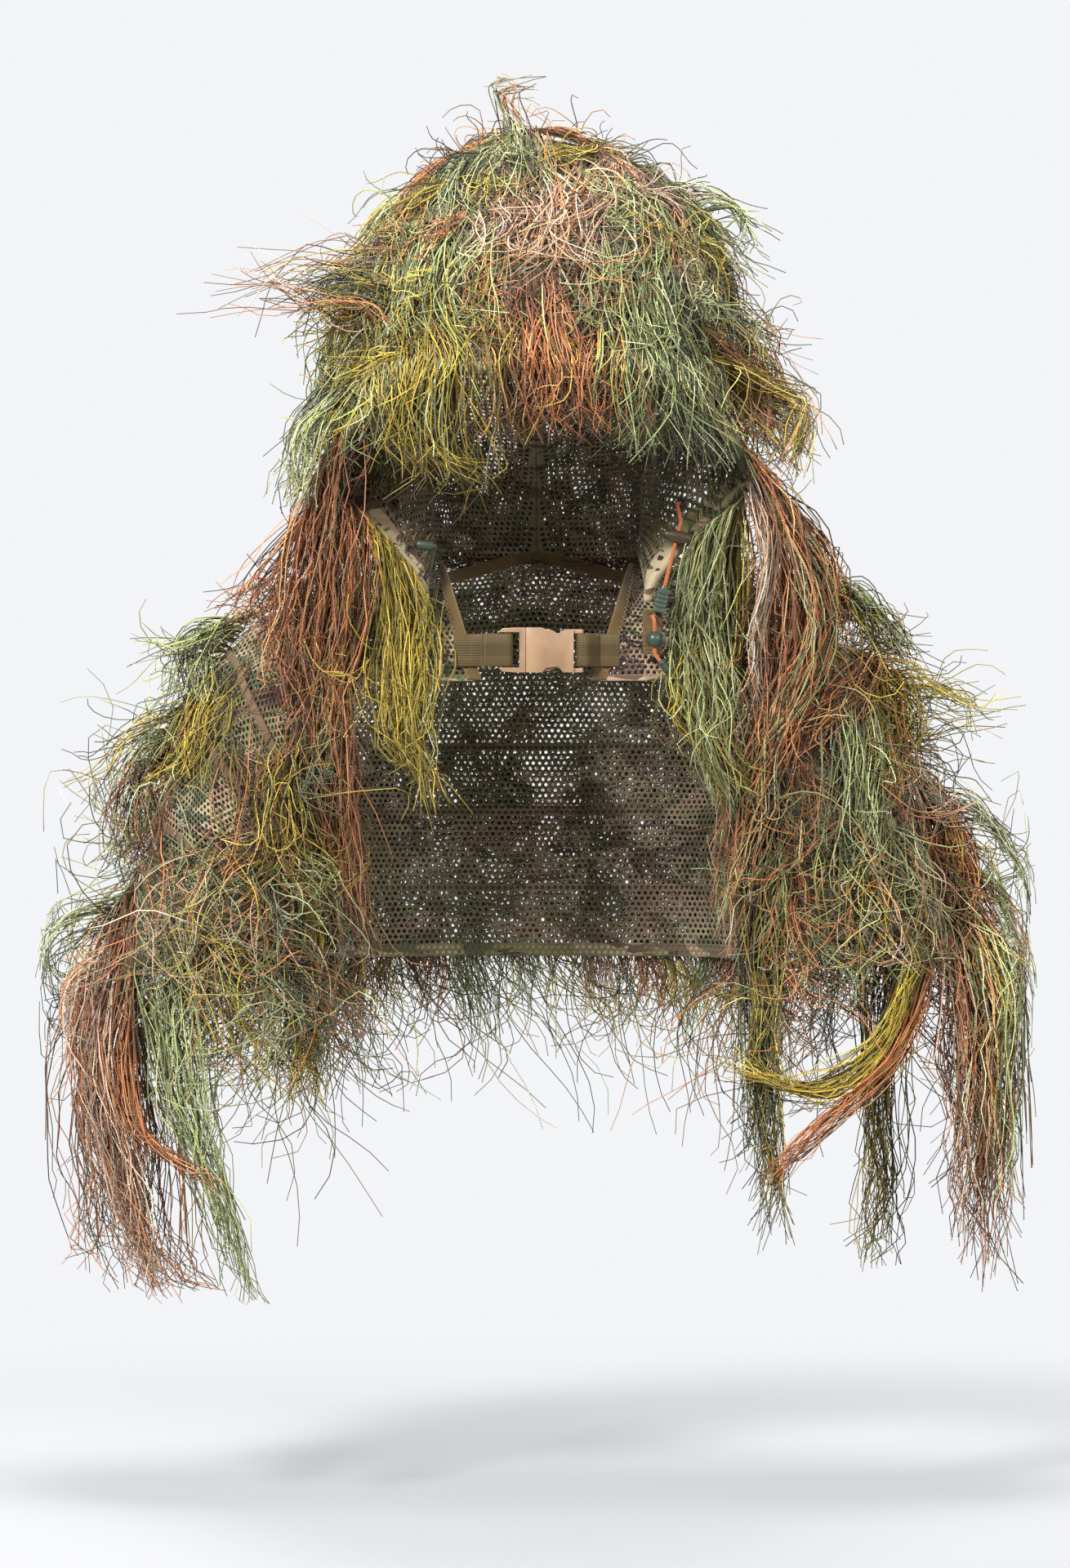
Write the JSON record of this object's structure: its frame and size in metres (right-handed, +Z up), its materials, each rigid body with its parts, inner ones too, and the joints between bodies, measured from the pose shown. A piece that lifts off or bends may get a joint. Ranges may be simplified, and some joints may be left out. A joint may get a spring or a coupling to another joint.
{
  "type": "ghillie suit",
  "caption": "Hooded camouflage over-jacket of perforated mesh with hanging thread garnish, a chest strap with side release buckle, and hood drawcord locks.",
  "frame": {"origin": "centre of the hang loop's bore at the back of the neck", "axes": "+Z up, wearer faces -Y, +X is the wearer's left"},
  "size_m": [0.7468, 0.3656, 0.91],
  "materials": {
    "mesh_fabric": "perforated polyester mesh, printed in beige, green, pink-tan and dark brown patches, matt",
    "coyote_tape": "woven coyote brown binding, slight sheen, tan zigzag stitching",
    "coyote_webbing": "ribbed nylon webbing, slight sheen",
    "tan_plastic": "moulded acetal, satin, fine mould texture",
    "brown_plastic": "moulded plastic, satin",
    "dark_green_plastic": "moulded plastic, satin",
    "spring_steel": "drawn spring wire",
    "orange_cord": "braided elastic cord",
    "garnish_tape": "narrow knitted elastic, sewn down in steps",
    "thread_rust": "twisted jute-like twine, burnt sienna",
    "thread_olive": "twisted twine, olive yellow",
    "thread_sage": "twisted twine, sage green",
    "thread_tan": "twisted twine, pinkish tan",
    "thread_dark": "twisted twine, dark moss green"
  },
  "bodies": {
    "garment": {"back_panel": "mesh_fabric", "front_panel_left": "mesh_fabric", "front_panel_right": "mesh_fabric", "neck_seam_tape": "coyote_tape", "shoulder_tapes": "coyote_tape", "hang_loop": "coyote_tape", "edge_binding_left": "coyote_tape", "edge_binding_right": "coyote_tape", "chest_strap_left": "coyote_webbing", "chest_strap_right": "coyote_webbing", "buckle_female": "tan_plastic", "anchor_tab": "coyote_tape", "tab_cord": "orange_cord", "tab_cord_bell": "dark_green_plastic", "jacket_garnish_tapes": "garnish_tape", "jacket_threads_rust": "thread_rust", "jacket_threads_olive": "thread_olive", "jacket_threads_sage": "thread_sage", "jacket_threads_dark": "thread_dark"},
    "hood": {"hood_side_left": "mesh_fabric", "hood_side_right": "mesh_fabric", "hood_seam_tape": "coyote_tape", "hood_edge_channel": "mesh_fabric", "hood_drawcord": "orange_cord", "hood_drawcord_tail": "orange_cord", "hood_eyelets": "brown_plastic", "cord_end_clip": "dark_green_plastic", "far_lock_body": "dark_green_plastic", "far_lock_spring": "spring_steel", "hood_garnish_tapes": "garnish_tape", "hood_threads_rust": "thread_rust", "hood_threads_olive": "thread_olive", "hood_threads_sage": "thread_sage", "hood_threads_tan": "thread_tan"},
    "sleeve_left": {"sleeve_left": "mesh_fabric", "sleeve_hem_left": "coyote_tape", "sleeve_left_garnish_tapes": "garnish_tape", "sleeve_left_threads_rust": "thread_rust", "sleeve_left_threads_olive": "thread_olive", "sleeve_left_threads_sage": "thread_sage"},
    "sleeve_right": {"sleeve_right": "mesh_fabric", "sleeve_hem_right": "coyote_tape", "sleeve_right_garnish_tapes": "garnish_tape", "sleeve_right_threads_rust": "thread_rust", "sleeve_right_threads_olive": "thread_olive", "sleeve_right_threads_sage": "thread_sage"},
    "buckle_male": {"buckle_male": "tan_plastic"},
    "latch_upper": {"latch_arm_upper": "tan_plastic"},
    "latch_lower": {"latch_arm_lower": "tan_plastic"},
    "barrel_lock": {"barrel_lock_body": "brown_plastic", "barrel_lock_spring": "spring_steel"},
    "barrel_plunger": {"barrel_lock_plunger": "brown_plastic"},
    "far_plunger": {"far_lock_plunger": "dark_green_plastic"},
    "tab_lock": {"tab_lock_body": "dark_green_plastic", "tab_lock_spring": "spring_steel"},
    "tab_plunger": {"tab_lock_plunger": "dark_green_plastic"}
  },
  "joints": [
    {"name": "hood_fold", "type": "hinge", "parent": "garment", "child": "hood", "pos_m": [0, 0.009, 0.014], "axis": [-1, 0, 0], "range_deg": [0, 45]},
    {"name": "sleeve_left_raise", "type": "hinge", "parent": "garment", "child": "sleeve_left", "pos_m": [0.188, -0.055, -0.027], "axis": [0, -1, 0], "range_deg": [0, 50]},
    {"name": "sleeve_right_raise", "type": "hinge", "parent": "garment", "child": "sleeve_right", "pos_m": [-0.188, -0.055, -0.027], "axis": [0, 1, 0], "range_deg": [0, 50]},
    {"name": "buckle_release", "type": "slide", "parent": "garment", "child": "buckle_male", "axis": [-1, 0, 0], "range_m": [0, 0.034], "deforming": ["chest_strap_left", "latch_arm_upper", "latch_arm_lower"]},
    {"name": "latch_upper_squeeze", "type": "hinge", "parent": "buckle_male", "child": "latch_upper", "pos_m": [-0.0095, -0.18, -0.0501], "axis": [0, 1, 0], "range_deg": [0, 8], "stiffness_Nm_per_rad": 0.02, "springref_deg": -2.86},
    {"name": "latch_lower_squeeze", "type": "hinge", "parent": "buckle_male", "child": "latch_lower", "pos_m": [-0.0095, -0.18, -0.0719], "axis": [0, -1, 0], "range_deg": [0, 8], "stiffness_Nm_per_rad": 0.02, "springref_deg": -2.86},
    {"name": "barrel_lock_slide", "type": "slide", "parent": "hood", "child": "barrel_lock", "axis": [-0.2419, 0, -0.9703], "range_m": [0, 0.028]},
    {"name": "barrel_lock_press", "type": "slide", "parent": "barrel_lock", "child": "barrel_plunger", "axis": [0.9703, 0, -0.2419], "range_m": [0, 0.003], "stiffness_N_per_m": 300, "springref_m": -0.002, "deforming": ["barrel_lock_spring"]},
    {"name": "far_lock_press", "type": "slide", "parent": "hood", "child": "far_plunger", "axis": [-0.9945, 0, 0.1045], "range_m": [0, 0.002], "stiffness_N_per_m": 300, "springref_m": -0.002, "deforming": ["far_lock_spring"]},
    {"name": "tab_lock_slide", "type": "slide", "parent": "garment", "child": "tab_lock", "axis": [0, 0, 1], "range_m": [0, 0.004]},
    {"name": "tab_lock_press", "type": "slide", "parent": "tab_lock", "child": "tab_plunger", "axis": [-1, 0, 0], "range_m": [0, 0.0015], "stiffness_N_per_m": 300, "springref_m": -0.002, "deforming": ["tab_lock_spring"]}
  ],
  "couplings": [
    {"joint": "latch_lower_squeeze", "follows": "latch_upper_squeeze", "ratio": 1}
  ]
}
